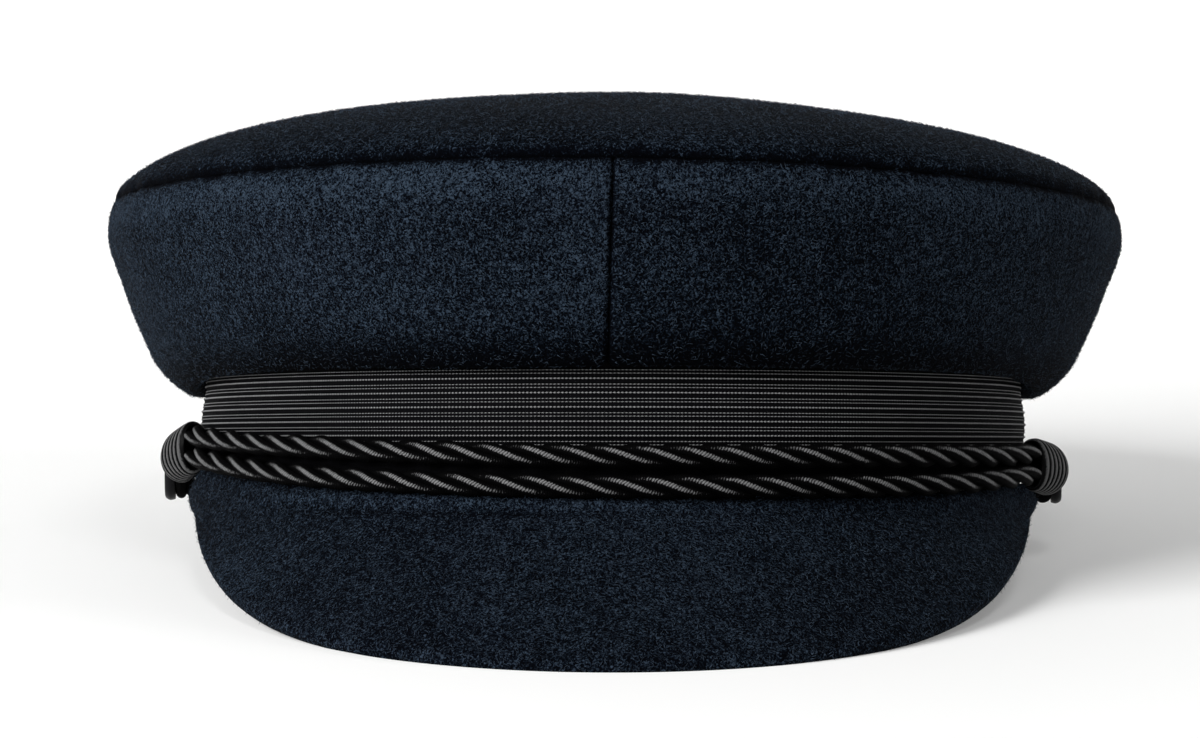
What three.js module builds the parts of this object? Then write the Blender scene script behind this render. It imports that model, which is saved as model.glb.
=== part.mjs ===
// A fisherman cap: three sewn wool panels over a ribbed ribbon band, a cloth-covered peak, and a twisted cord that is
// looped round a button on each side and gathered there by a wound slide.
// Millimetres, +Z up, front towards -Y. The cap rests on the rim of its peak and on the back of its band.

import * as THREE from "three";

const { clamp, lerp, smoothstep, degToRad, euclideanModulo } = THREE.MathUtils;

// Driving dimensions, in the cap's own frame, where the band's lower edge lies in the plane z = 0

const GAP = 0.3; // between neighbouring pieces
const CLOTH = 2; // wall of the wool panels
const SECTIONS = 52; // round the band and the crown

const HEAD = { halfWidth: 79.6, halfLength: 101 }; // inside of the band, for a 57 cm head
const BAND = { wall: 2.6, height: 25.6, ribs: 10, ribDepth: 0.5 };

// How far the crown stands out past the band, and the heights of its lower edge and of its top seam. The higher the
// spread, the further the front and back sizes reach round to the sides.
const CROWN = {
  front: { flare: 15, hem: 22.7, seam: 57.1 },
  side: { flare: 18.9, hem: 18.9, seam: 56 },
  back: { flare: 19, hem: 21.5, seam: 56 },
  spread: { flare: 1, hem: 6, seam: 1 },
};
const LEAN = 0.9; // the top seam stands this much higher on the left and lower on the right
const TOP = { rise: 21.8, roundness: 0.57, apexX: -2, apexY: 3 };

// Section of a side panel, as shares of its height and of its flare
const SIDE_SECTION = [
  { part: "seam to the band", rise: 0.05, out: 0 },
  { part: "lowest fold", rise: 0, out: 0.12 },
  { part: "fold", rise: 0.05, out: 0.31 },
  { part: "fold", rise: 0.15, out: 0.5 },
  { part: "flank", rise: 0.26, out: 0.61 },
  { part: "flank", rise: 0.41, out: 0.74 },
  { part: "flank", rise: 0.57, out: 0.85 },
  { part: "flank", rise: 0.73, out: 0.965 },
  { part: "widest", rise: 0.83, out: 1 },
  { part: "shoulder", rise: 0.925, out: 0.98 },
  { part: "top seam", rise: 1, out: 0.935 },
];
// Places on the top panel, as shares of the way from its middle to its seam
const TOP_RINGS = [1, 0.985, 0.95, 0.89, 0.78, 0.62, 0.42, 0.2, 0];

// The peak's length narrows from the middle to its ends, and its slope steepens
const PEAK = {
  thickness: 3,
  rootHeight: 0.2,
  length: 43.4,
  endLength: 2,
  narrowing: 2.2,
  slope: degToRad(35),
  endSlope: degToRad(58),
  camber: 1,
  reach: 0.215, // share of the band's length from the middle to each end
  sections: 32,
};
const PEAK_PLACES = [0, 0.3, 0.65, 1]; // from the root to the rim, as shares
const RIM_ANGLES = [45, 0, -45].map(degToRad);

const CORD = {
  diameter: 4.1,
  plies: 3,
  lead: 20.2, // length of one turn of its twist
  valley: 0.7, // radius between two plies, as a share of the cord's own
  spacing: 5.2, // between the middles of the two strands at the front
  pinched: 4.4, // the same inside a slide
  height: 4.8, // of the middle between the strands at the front
  sections: 264,
};
const SLIDE = { length: 14, turns: 7, wall: 0.5, ridge: 0.35, barrel: 0.2, corners: 16 };
// Heights of the slides' two ends. The lower the power, the earlier the cord starts to rise towards them.
const SLIDE_HEIGHT = { left: { front: 9, rear: 6.5, power: 1.5 }, right: { front: 5.7, rear: 4.4, power: 4 } };
const BUTTON = { radius: 5.5, thickness: 2.3, shank: 1, height: 3.7, ahead: 15, corners: 18 };

const PRESSED = { peak: 0.8, band: 1.2 }; // how far the cloth gives where the cap rests

const COLOURS = { wool: 0x161d28, ribbon: 0x1c1c1e, cord: 0x141416, button: 0x0e0e10 };

// Places on the band

const UP = new THREE.Vector3(0, 0, 1);
const OUTSIDE = { x: HEAD.halfWidth + BAND.wall, y: HEAD.halfLength + BAND.wall };
const OVAL = new THREE.EllipseCurve(0, 0, OUTSIDE.x, OUTSIDE.y, -Math.PI / 2, 1.5 * Math.PI);
const ROUND = OVAL.getLength();

function outwardAt(point) {
  return new THREE.Vector3(point.x / OUTSIDE.x ** 2, point.y / OUTSIDE.y ** 2, 0).normalize();
}

// A place on the band's outside, an arc length from the middle of the front, towards +X if it is positive
function bandAt(arc) {
  const { x, y } = OVAL.getPointAt(euclideanModulo(arc / ROUND, 1));
  const foot = new THREE.Vector3(x, y, 0);
  return { foot, out: outwardAt(foot), forward: -y / OUTSIDE.y, rightward: x / OUTSIDE.x };
}

function place(arc, outward, height) {
  const { foot, out } = bandAt(arc);
  return foot.addScaledVector(out, outward).addScaledVector(UP, height);
}

// How the cap rests: the tilt that puts the rim of the peak and the back of the band on one level

const RIM_RADIUS = PEAK.thickness / 2;
const TILT = restTilt();
const FLOOR = new THREE.Plane(new THREE.Vector3(0, Math.sin(TILT), Math.cos(TILT)));
FLOOR.constant = -OUTSIDE.y * Math.sin(TILT) - PRESSED.band;

function restTilt() {
  const rim = peakMiddle(0, 1);
  const reach = OUTSIDE.y - rim.y;
  const drop = RIM_RADIUS + PRESSED.band - PRESSED.peak;
  return Math.atan2(rim.z, reach) - Math.asin(drop / Math.hypot(reach, rim.z));
}

// Cloth that would reach below the floor is pressed flat on it
function pressed(point) {
  const depth = -FLOOR.distanceToPoint(point);
  return depth > 0 ? point.addScaledVector(FLOOR.normal, depth) : point;
}

// Solids from loops of points

// The solid through loops that have the same number of points. An open row of loops gets a cap at each end, where
// point i is joined to point n - 1 - i.
function loft(loops, { closed }) {
  const size = loops[0].length;
  const last = loops.length - 1;
  const at = (j, i) => (j % loops.length) * size + (i % size);
  const faces = [];
  const quad = (a, b, c, d) => faces.push([a, b, c], [a, c, d]);
  for (let j = 0; j < last + (closed ? 1 : 0); j++)
    for (let i = 0; i < size; i++) quad(at(j, i), at(j, i + 1), at(j + 1, i + 1), at(j + 1, i));
  if (!closed)
    for (let i = 0; i < (size - 2) / 2; i++) {
      const far = size - 1 - i;
      quad(at(0, i), at(0, far), at(0, far - 1), at(0, i + 1));
      quad(at(last, i), at(last, i + 1), at(last, far - 1), at(last, far));
    }
  return facingOut(loops.flat(), faces);
}

function facingOut(points, faces) {
  const apart = (a, b) => points[a].distanceTo(points[b]) > 1e-6;
  const kept = faces.filter(([a, b, c]) => apart(a, b) && apart(b, c) && apart(c, a));
  const volume = kept.reduce((sum, [a, b, c]) => sum + points[a].dot(points[b].clone().cross(points[c])), 0);
  const turned = volume < 0 ? kept.map(([a, b, c]) => [a, c, b]) : kept;
  const geometry = new THREE.BufferGeometry().setFromPoints(points).setIndex(turned.flat());
  geometry.computeVertexNormals();
  return geometry;
}

// The other side of a wall whose first side is a row of points in the upright plane of an outward direction
function otherSide(row, out, wall) {
  const across = new THREE.Vector3().crossVectors(UP, out);
  return row.map((point, i) => {
    const before = row[Math.max(i - 1, 0)];
    const after = row[Math.min(i + 1, row.length - 1)];
    const through = after.clone().sub(before).cross(across).normalize();
    return point.clone().addScaledVector(through, wall);
  });
}

// The crown

// A size of the crown where the band faces forward by that share
function crownSize(size, forward) {
  const end = forward > 0 ? CROWN.front : CROWN.back;
  return lerp(end[size], CROWN.side[size], (1 - forward ** 2) ** CROWN.spread[size]);
}

// Outer and inner side of a side panel, from the band to the top seam
function sideSection(arc) {
  const { out, forward, rightward } = bandAt(arc);
  const flare = crownSize("flare", forward);
  const hem = crownSize("hem", forward);
  const height = crownSize("seam", forward) - LEAN * rightward - hem;
  const outer = SIDE_SECTION.map((row) => place(arc, GAP + row.out * flare, hem + row.rise * height));
  const inner = otherSide(outer, out, CLOTH);
  inner[0] = place(arc, GAP, BAND.height - GAP);
  return { outer, inner };
}

function crownSide(side) {
  const loops = [];
  for (let j = 0; j <= SECTIONS / 2; j++) {
    const arc = side * lerp(GAP / 2, (ROUND - GAP) / 2, j / (SECTIONS / 2));
    const { outer, inner } = sideSection(arc);
    loops.push([...outer, ...inner.reverse()]);
  }
  return loft(loops, { closed: false });
}

// The upper side of the top panel, from a point of its seam to its middle
function topRow(seam, middle) {
  return TOP_RINGS.map((ring) => {
    const dome = TOP.rise * (1 - ring ** 2) ** TOP.roundness;
    return middle.clone().lerp(seam, ring).addScaledVector(UP, dome);
  });
}

function crownTop() {
  const middle = new THREE.Vector3(TOP.apexX, TOP.apexY, CROWN.side.seam);
  const loops = [];
  for (let j = 0; j < SECTIONS; j++) {
    const side = sideSection(((j + 0.5) / SECTIONS) * ROUND);
    const seam = side.outer.at(-1).addScaledVector(UP, GAP);
    const upper = topRow(seam, middle);
    const out = seam.clone().sub(middle).setZ(0).normalize();
    const lower = otherSide(upper, out, CLOTH);
    lower[0] = side.inner.at(-1).addScaledVector(UP, GAP);
    lower[lower.length - 1] = upper.at(-1).clone().addScaledVector(UP, -CLOTH);
    loops.push([...upper, ...lower.reverse()]);
  }
  return loft(loops, { closed: true });
}

// The band and the peak

function band() {
  const pitch = BAND.height / BAND.ribs;
  const rows = [{ outward: -BAND.ribDepth, height: 0 }];
  for (let rib = 0; rib < BAND.ribs; rib++) {
    rows.push({ outward: 0, height: (rib + 0.5) * pitch });
    rows.push({ outward: -BAND.ribDepth, height: (rib + 1) * pitch });
  }
  rows.push({ outward: -BAND.wall, height: BAND.height }, { outward: -BAND.wall, height: 0 });
  const loops = [];
  for (let j = 0; j < SECTIONS; j++) {
    const arc = (j / SECTIONS) * ROUND;
    loops.push(rows.map((row) => pressed(place(arc, row.outward, row.height))));
  }
  return loft(loops, { closed: true });
}

// A place half way through the peak, from its root (share 0) to the middle of its half-round rim (share 1)
function peakMiddle(arc, share) {
  const narrow = Math.max(bandAt(arc).forward, 0);
  const length = lerp(PEAK.endLength, PEAK.length, narrow ** PEAK.narrowing);
  const slope = lerp(PEAK.endSlope, PEAK.slope, narrow ** 2);
  const along = share * (length - RIM_RADIUS);
  const under = RIM_RADIUS + PEAK.camber * (along / PEAK.length) ** 2;
  const outward = along * Math.cos(slope) - under * Math.sin(slope);
  const downward = along * Math.sin(slope) + under * Math.cos(slope);
  return place(arc, GAP + outward, PEAK.rootHeight - downward);
}

// Round the peak's section: its upper side, its half-round rim and its lower side
function peakLoop(arc) {
  const { out } = bandAt(arc);
  const middle = PEAK_PLACES.map((share) => peakMiddle(arc, share));
  const upper = otherSide(middle, out, -RIM_RADIUS);
  const lower = otherSide(middle, out, RIM_RADIUS);
  const end = middle.at(-1);
  const above = upper.at(-1).clone().sub(end);
  const ahead = above.clone().cross(new THREE.Vector3().crossVectors(UP, out));
  const rim = RIM_ANGLES.map((angle) =>
    end.clone().addScaledVector(above, Math.sin(angle)).addScaledVector(ahead, Math.cos(angle)),
  );
  return [...upper, ...rim, ...lower.reverse()];
}

function peak() {
  const loops = [];
  for (let j = 0; j <= PEAK.sections; j++) {
    const arc = lerp(-PEAK.reach, PEAK.reach, j / PEAK.sections) * ROUND;
    loops.push(peakLoop(arc).map(pressed));
  }
  return loft(loops, { closed: false });
}

// The cord, its slides and its buttons

const CORD_RADIUS = CORD.diameter / 2;
const LOOP_RADIUS = BUTTON.shank + GAP + CORD_RADIUS;
const BUTTON_ARC = ROUND / 4 - BUTTON.ahead;
const LOOP_START = BUTTON_ARC - BUTTON.shank; // both strands are at their full distance from here
const SLIDE_ARC = BUTTON_ARC - BUTTON.radius - GAP - SLIDE.length / 2;
const SLIDE_REAR = SLIDE_ARC + SLIDE.length / 2;
const SLIDE_FRONT = SLIDE_ARC - SLIDE.length / 2;
const FRONT_OUTWARD = GAP + CORD_RADIUS;
const END_OUTWARD = FRONT_OUTWARD + GAP + SLIDE.wall + SLIDE.ridge + SLIDE.barrel;

// Distance of the cord's middle from the band: close to it at the front, further out inside a slide
function cordOutward(arc) {
  return lerp(FRONT_OUTWARD, END_OUTWARD, smoothstep(Math.abs(arc), SLIDE_FRONT - 2 * SLIDE.length, SLIDE_FRONT));
}

// Height half way between the two strands
function cordHeight(arc) {
  const slide = arc < 0 ? SLIDE_HEIGHT.left : SLIDE_HEIGHT.right;
  const away = Math.abs(arc);
  const front = lerp(CORD.height, slide.front, Math.min(away / SLIDE_FRONT, 1) ** slide.power);
  const inside = lerp(front, slide.rear, clamp((away - SLIDE_FRONT) / SLIDE.length, 0, 1));
  return lerp(inside, BUTTON.height, smoothstep(away, SLIDE_REAR, LOOP_START));
}

// Half the distance between the two strands
function strandRise(arc) {
  const pinch = smoothstep(Math.abs(arc), SLIDE_FRONT - 2 * SLIDE.length, SLIDE_FRONT);
  const front = lerp(CORD.spacing, CORD.pinched, pinch) / 2;
  return lerp(front, LOOP_RADIUS, smoothstep(Math.abs(arc), SLIDE_REAR, LOOP_START));
}

// The cord's closed way: the upper strand, round the right button, the lower strand, round the left button
function cordRoute() {
  const steps = 120;
  const strand = (side) =>
    Array.from({ length: steps + 1 }, (_, i) => {
      const arc = side * lerp(-BUTTON_ARC, BUTTON_ARC, i / steps);
      return place(arc, cordOutward(arc), cordHeight(arc) + side * strandRise(arc));
    });
  const turn = (side) =>
    [60, 30, 0, -30, -60].map(degToRad).map((angle) => {
      const arc = side * (BUTTON_ARC + LOOP_RADIUS * Math.cos(angle));
      return place(arc, END_OUTWARD, BUTTON.height + side * LOOP_RADIUS * Math.sin(angle));
    });
  return new THREE.CatmullRomCurve3([...strand(1), ...turn(1), ...strand(-1), ...turn(-1)], true);
}

function cord() {
  const route = cordRoute();
  const turns = Math.round(route.getLength() / CORD.lead);
  const corners = 2 * CORD.plies; // a crest and a valley for each ply
  const loops = [];
  for (let j = 0; j < CORD.sections; j++) {
    const share = j / CORD.sections;
    const middle = route.getPointAt(share);
    const along = route.getTangentAt(share);
    const side = along.clone().cross(outwardAt(middle)).normalize();
    const out = side.clone().cross(along);
    const loop = [];
    for (let corner = 0; corner < corners; corner++) {
      const angle = 2 * Math.PI * (turns * share + corner / corners);
      const radius = CORD_RADIUS * (corner % 2 ? CORD.valley : 1);
      const rim = out.clone().multiplyScalar(Math.cos(angle)).addScaledVector(side, Math.sin(angle));
      loop.push(middle.clone().addScaledVector(rim, radius));
    }
    loops.push(loop);
  }
  return loft(loops, { closed: true });
}

// A tube round both strands, ridged by the turns of its winding
function cordSlide(side) {
  const inside = CORD_RADIUS + GAP;
  const rows = [];
  for (let i = 0; i <= 2 * SLIDE.turns; i++) {
    const share = i / SLIDE.turns - 1;
    const ridge = i % 2 ? SLIDE.ridge : 0;
    const radius = inside + SLIDE.wall + ridge + SLIDE.barrel * (1 - share ** 2);
    rows.push({ along: (share * SLIDE.length) / 2, radius });
  }
  rows.push({ along: SLIDE.length / 2, radius: inside }, { along: -SLIDE.length / 2, radius: inside });
  const loops = [];
  for (let corner = 0; corner < SLIDE.corners; corner++) {
    const angle = (2 * Math.PI * (corner + 0.5)) / SLIDE.corners;
    const strand = Math.sign(Math.sin(angle));
    const loop = rows.map(({ along, radius }) => {
      const arc = side * (SLIDE_ARC + along);
      const height = cordHeight(arc) + strand * strandRise(arc) + radius * Math.sin(angle);
      return place(arc, END_OUTWARD + radius * Math.cos(angle), height);
    });
    loops.push(loop);
  }
  return loft(loops, { closed: true });
}

function button(side) {
  const { radius, thickness, shank } = BUTTON;
  const back = END_OUTWARD + CORD_RADIUS + GAP;
  const profile = [
    { radius: 0, outward: GAP },
    { radius: shank, outward: GAP },
    { radius: shank, outward: back },
    { radius: 0.93 * radius, outward: back },
    { radius, outward: back + 0.25 * thickness },
    { radius, outward: back + 0.5 * thickness },
    { radius: 0.85 * radius, outward: back + 0.85 * thickness },
    { radius: 0.45 * radius, outward: back + thickness },
    { radius: 0, outward: back + thickness },
  ];
  const points = profile.map((row) => new THREE.Vector2(row.radius, row.outward));
  const { out } = bandAt(side * BUTTON_ARC);
  const turn = new THREE.Quaternion().setFromUnitVectors(new THREE.Vector3(0, 1, 0), out);
  const { x, y, z } = place(side * BUTTON_ARC, 0, BUTTON.height);
  return new THREE.LatheGeometry(points, BUTTON.corners).applyQuaternion(turn).translate(x, y, z);
}

function piece(name, geometry, colour, roughness) {
  const mesh = new THREE.Mesh(geometry, new THREE.MeshStandardMaterial({ color: colour, roughness, metalness: 0 }));
  mesh.name = name;
  return mesh;
}

// The cap, tilted as it rests, over the middle of its outline
const cap = new THREE.Group();
cap.name = "fisherman_cap";
cap.add(
  piece("crown_top", crownTop(), COLOURS.wool, 0.95),
  piece("crown_side_left", crownSide(-1), COLOURS.wool, 0.95),
  piece("crown_side_right", crownSide(1), COLOURS.wool, 0.95),
  piece("band", band(), COLOURS.ribbon, 0.6),
  piece("peak", peak(), COLOURS.wool, 0.95),
  piece("cord", cord(), COLOURS.cord, 0.45),
  piece("cord_slide_left", cordSlide(-1), COLOURS.cord, 0.45),
  piece("cord_slide_right", cordSlide(1), COLOURS.cord, 0.45),
  piece("button_left", button(-1), COLOURS.button, 0.4),
  piece("button_right", button(1), COLOURS.button, 0.4),
);
cap.rotation.x = TILT;
const middle = new THREE.Box3().setFromObject(cap, true).getCenter(new THREE.Vector3());
cap.position.set(-middle.x, -middle.y, FLOOR.constant);

export default cap;
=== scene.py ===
"""Fisherman cap: wool panels, ribbed ribbon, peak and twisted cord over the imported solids, on a pale studio floor."""

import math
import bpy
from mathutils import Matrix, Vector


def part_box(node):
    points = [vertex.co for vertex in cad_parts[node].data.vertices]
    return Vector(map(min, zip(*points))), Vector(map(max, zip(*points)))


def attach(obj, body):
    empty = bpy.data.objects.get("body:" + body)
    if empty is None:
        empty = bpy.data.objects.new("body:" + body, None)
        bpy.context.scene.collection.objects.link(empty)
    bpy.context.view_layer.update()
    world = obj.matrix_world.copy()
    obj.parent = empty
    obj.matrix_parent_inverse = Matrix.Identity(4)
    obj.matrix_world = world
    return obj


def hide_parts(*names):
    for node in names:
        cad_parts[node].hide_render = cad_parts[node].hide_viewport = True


bl_info = {
    "name": "Fisherman Cap",
    "version": (1, 0, 0),
    "blender": (4, 5, 0),
    "location": "View3D > Sidebar > Cap",
    "description": "Builds a wool fisherman cap over its packed solids and sets a studio stage",
    "category": "Add Mesh",
}

import bmesh
import bpy
import numpy as np
from bpy.props import FloatProperty, FloatVectorProperty, IntProperty, PointerProperty
from mathutils import Vector, noise

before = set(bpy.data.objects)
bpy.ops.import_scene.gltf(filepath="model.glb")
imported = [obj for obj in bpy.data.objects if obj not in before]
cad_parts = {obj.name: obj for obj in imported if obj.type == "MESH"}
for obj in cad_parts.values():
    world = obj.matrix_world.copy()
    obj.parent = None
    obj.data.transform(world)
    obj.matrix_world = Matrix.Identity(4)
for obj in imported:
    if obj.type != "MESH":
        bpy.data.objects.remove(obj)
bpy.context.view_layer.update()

GAP = 0.0003  # between neighbouring solids
SEAM = 0.00002  # between two panels of cloth where they are sewn

# How far the crown stands out past the band, and the heights of its lower edge and top seam, at the front, side and
# back. The higher the spread, the further the front and back sizes reach round to the sides.
CROWN = {
    "flare": {"front": 0.015, "side": 0.0189, "back": 0.019, "spread": 1},
    "hem": {"front": 0.0227, "side": 0.0189, "back": 0.0215, "spread": 6},
    "seam": {"front": 0.0571, "side": 0.056, "back": 0.056, "spread": 1},
}
CROWN_LEAN = 0.0009  # the top seam stands this much higher on the left and lower on the right
RIGHT_FLARE = 0.0008  # the right side leans out this much more at its top
TOP_MIDDLE = (-0.002, 0.003)
TOP_ROUNDNESS = 0.57
OVAL_POINTS = 6001  # of the band's outline, from which lengths along it are read

# Section of a side panel from the band to the top seam: shares of its height and of its flare
SIDE_SECTION = np.array([
    (0.05, 0.0), (0.0, 0.12), (0.05, 0.31), (0.15, 0.5), (0.26, 0.61), (0.41, 0.74),
    (0.57, 0.85), (0.73, 0.965), (0.83, 1.0), (0.925, 0.98), (1.0, 0.935),
])

# Fineness of the meshes: points along a piece and across it, and across the side of a cloth that is out of sight
MESH = {
    "side": (330, 66, 14), "top": (420, 60, 16), "peak": (330, 46, 14), "rim": 11, "binding": 300,
    "band": (280, 116), "threads": 420, "strand": 300, "loop": 26, "slide": (133, 96), "button": (90, 72),
    "floor": 24,
}
ROPE_MESH = {"steps": 26, "sides": 14}  # steps in one turn of the plies, and sides of a ply
NAP_MARGIN = 3  # rows beside a seam without fibre ends
NAP_ON_RIM = 4  # rows of the peak's rim with fibre ends
NAP_SEED = {"crown_side_left": 10, "crown_side_right": 12, "crown_top": 21, "peak": 31}

# How the cloth rolls in towards a seam: width and depth beside the top seam, and beside the front and back seams
TUCK = {"side": (0.0014, 0.0008), "top": (0.0018, 0.0009), "middle": (0.0008, 0.0008)}
TUCK_POWER = 1.4

# Soft unevenness of the cloth: its height, the size of its waves, how far from a seam it is full, and its seed
SWELL = {"side": (0.00045, 0.035, 0.01, 1), "top": (0.0005, 0.045, 0.012, 3), "peak": (0.0004, 0.03, 0.01, 5)}

GATHER = {"height": 0.0006, "size": 0.0038, "reach": 0.004}  # small gathers beside the top seam
CREASE_SHADE_WIDTH = {"side": 0.0008, "top": 0.001}  # width of the painted shade in the top seam's crease, on its two panels
FRONT_SEAM_SLANT = 0.0005  # how far the ends of the front seam lean aside
FRONT_SEAM_REACH = 0.03  # how far from the seam its panels follow the slant
BINDING = {"near": 0.0003, "far": 0.0007, "ring": 0.996}  # distances under the cloth, and its edge on the top

# Painted shade of each panel: the right side, the top and the peak take darker copies of the wool, with fewer pale
# fibre ends
WOOL_PAINTED_SHADE = {"navy_wool": 0.0, "navy_wool_right": 0.028, "navy_wool_top": 0.05, "navy_wool_peak": 0.028}
WOOL_TONE = 0.95  # the cloth is a little darker than its fibre ends

# Ground of the ribbon over one pitch, from one main rib up to the next: share of the pitch and depth
RIBBON_SECTION = [(0, 0.0001), (0.1, 0.0002), (0.18, 0.00034), (0.27, 0.0003), (0.36, 0.00022), (0.59, 0.00022),
                  (0.7, 0.0003), (0.8, 0.00034), (0.9, 0.0002), (1, 0.0001)]

# Raised threads in each pitch: share of the pitch, depth of their middle and thickness
RIBBON_THREADS = [(0, 0.00016, 0.00042), (0.36, 0.00022, 0.00023), (0.59, 0.00022, 0.00023)]
FIRST_RIB = 0.45  # height of the lowest rib, as a share of the pitch
THREAD_OVERLAP = 1.15  # length of a float of thread, as a share of its pitch
BAND_SWELL = 0.0009  # how far the ribbon swells out between the cord and the crown
BAND_GIVE = 0.0007  # how far the ribs are pressed in under the cord
BAND_GIVE_EDGE = 0.001  # over this height beside the cord, they come out again

PEAK_ROOT = 0.0002
PEAK_END_LENGTH = 0.002
PEAK_NARROWING = 2.2
PEAK_CAMBER = 0.001
PEAK_REACH = 0.215  # share of the band's length from the middle to each end
PEAK_END_ROLL = 0.0017  # how far the ends roll outwards at their root
PEAK_END_ROLL_SHARES = (0.165, 0.205)  # of the band's length, between which the roll grows
PEAK_LIP = 0.0003  # how far the root rises past the underside of the cord
PEAK_LIP_LENGTH = 0.007  # over this length, the lip falls to the plain peak

CORD_SPACING = {"front": 0.0052, "slide": 0.004}
CORD_CLOSING = 0.05  # distance from the middle where its strands start to close up
CORD_LOOSENING = 0.8  # how much longer the turns of its twist are towards its ends
CORD_LOOSE_AT = 0.1  # distance from the middle where they are that long
CORD_HEIGHT = 0.0048
CORD_LEAN = {"ahead": 0.02, "out": 0.0006}  # it starts to lean out ahead of a slide, and is this far out at it
CORD_PHASE = 1 / 6  # share of a turn by which its plies are turned where it starts
CORD_SHEEN_UPWARD = 0.25  # how far the direction of its painted highlight faces up, towards the lamps
PLY_SWELL = 1.08  # plies are this much thicker than round ones that just touch
SLIDE_LENGTH = 0.014
SLIDE_WALL = 0.00105
SLIDE_GROUND = 0.0005  # thickness of a slide between the turns of its thread
SLIDE_RIDGE = 0.00065  # how far the turns stand up from that
SLIDE_CLEARANCE = 0.0001  # between a slide and the ribbon behind it
SLIDE_LEAN = {"left": 0.001, "right": 0.0016}  # how far the slides' rear ends lean out
# Heights of the slides' two ends. The lower the power, the earlier the cord starts to rise towards them.
SLIDE_HEIGHT = {
    "left": {"front": 0.009, "rear": 0.0065, "power": 1.5},
    "right": {"front": 0.0057, "rear": 0.0044, "power": 4},
}
BUTTON_HEIGHT = {"left": 0.0037, "right": 0.0032}
BUTTON_AHEAD = 0.015
BUTTON_SHANK = 0.001
BUTTON_THICKNESS = 0.0023
BUTTON_FILLET = 0.0003
# Face of a button from its back to its hollowed front: shares of its radius and of its thickness
BUTTON_SECTION = [(0.9, 0), (0.97, 0.1), (1, 0.35), (0.985, 0.6), (0.9, 0.86), (0.8, 0.9), (0.7, 0.78), (0.4, 0.74)]
AXIS = 1e-6  # radius of the points that stand for a button's axis
PRESSED = {"peak": 0.0008, "band": 0.0012}  # how far the cloth gives where the cap rests

# The camera, fitted to the outline of the cap in a 1200 x 738 frame
CAMERA_PLACE = (0.00238, -0.601, 0.09036)
CAMERA_PITCH = math.radians(-5.161)
CAMERA_YAW = math.radians(-0.475)
CAMERA_LENS = 89.88


class CapSizes(bpy.types.PropertyGroup):
    """Sizes of the cap that a user would change"""

    head_half_width: FloatProperty(
        name="Head half width", description="Half the inner width of the band", default=0.0796, unit="LENGTH")
    head_half_length: FloatProperty(
        name="Head half length", description="Half the inner length of the band", default=0.101, unit="LENGTH")
    band_wall: FloatProperty(
        name="Band wall", description="Thickness of ribbon and backing", default=0.0026, unit="LENGTH")
    band_height: FloatProperty(
        name="Band height", description="Height of the ribbon", default=0.0256, unit="LENGTH")
    rib_pitch: FloatProperty(
        name="Rib pitch", description="Distance between two main ribs of the ribbon", default=0.00244, unit="LENGTH")
    thread_pitch: FloatProperty(
        name="Thread pitch", description="Distance between two floats of a ribbon thread", default=0.00068,
        unit="LENGTH")
    cloth: FloatProperty(
        name="Cloth", description="Thickness of the wool panels", default=0.002, unit="LENGTH")
    top_rise: FloatProperty(
        name="Top rise", description="Height of the domed top over its seam", default=0.0212, unit="LENGTH")
    peak_length: FloatProperty(
        name="Peak length", description="Length of the peak at its middle", default=0.0434, unit="LENGTH")
    peak_thickness: FloatProperty(
        name="Peak thickness", description="Thickness of the covered peak", default=0.003, unit="LENGTH")
    peak_slope: FloatProperty(
        name="Peak slope", description="Slope of the peak at its middle", default=math.radians(35), subtype="ANGLE")
    peak_end_slope: FloatProperty(
        name="Peak end slope", description="Slope of the peak at its ends", default=math.radians(58),
        subtype="ANGLE")
    cord_diameter: FloatProperty(
        name="Cord diameter", description="Diameter of the twisted cord", default=0.0041, unit="LENGTH")
    cord_lead: FloatProperty(
        name="Cord lead", description="Length of one turn of the cord's plies", default=0.0202, unit="LENGTH")
    slide_turns: IntProperty(name="Slide turns", description="Turns of the winding of a cord slide", default=7)
    button_radius: FloatProperty(
        name="Button radius", description="Radius of the side buttons", default=0.0055, unit="LENGTH")


class CapColours(bpy.types.PropertyGroup):
    """Colours of the cap that a user would change"""

    wool_dark: FloatVectorProperty(
        name="Wool, dark", description="Shaded depths between the wool fibres", size=3, subtype="COLOR",
        default=(0.0001, 0.0003, 0.0011))
    wool: FloatVectorProperty(
        name="Wool", description="Navy of the wool cloth", size=3, subtype="COLOR", default=(0.0018, 0.0035, 0.0069))
    wool_light: FloatVectorProperty(
        name="Wool, light", description="Pale fibre ends on the wool", size=3, subtype="COLOR",
        default=(0.0255, 0.0385, 0.0575))
    ribbon: FloatVectorProperty(
        name="Ribbon", description="Black ground of the ribbon", size=3, subtype="COLOR",
        default=(0.0008, 0.0008, 0.001))
    # The threads' pale grey is a painted sheen, which stands in for the shine of black satin
    thread: FloatVectorProperty(
        name="Ribbon thread", description="Raised threads of the ribbon", size=3, subtype="COLOR",
        default=(0.14, 0.14, 0.143))
    cord: FloatVectorProperty(
        name="Cord", description="Black depths of the cord", size=3, subtype="COLOR",
        default=(0.0007, 0.0007, 0.0008))
    # A painted sheen: this pale grey stands in for the shine of the black satin cord and slides
    cord_sheen: FloatVectorProperty(
        name="Cord, light", description="Satin thread on the crowns of the cord's plies", size=3, subtype="COLOR",
        default=(0.15, 0.15, 0.153))
    button: FloatVectorProperty(
        name="Button", description="Black of the buttons", size=3, subtype="COLOR", default=(0.003, 0.003, 0.0035))
    floor: FloatVectorProperty(
        name="Floor", description="Pale studio floor", size=3, subtype="COLOR", default=(0.86, 0.86, 0.855))


def smooth(x, start, end):
    """0 before start, 1 after end, and an even change between"""
    t = np.clip((np.asarray(x) - start) / (end - start), 0, 1)
    return t * t * (3 - 2 * t)


def unit(vectors):
    return vectors / np.linalg.norm(vectors, axis=-1, keepdims=True)


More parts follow.
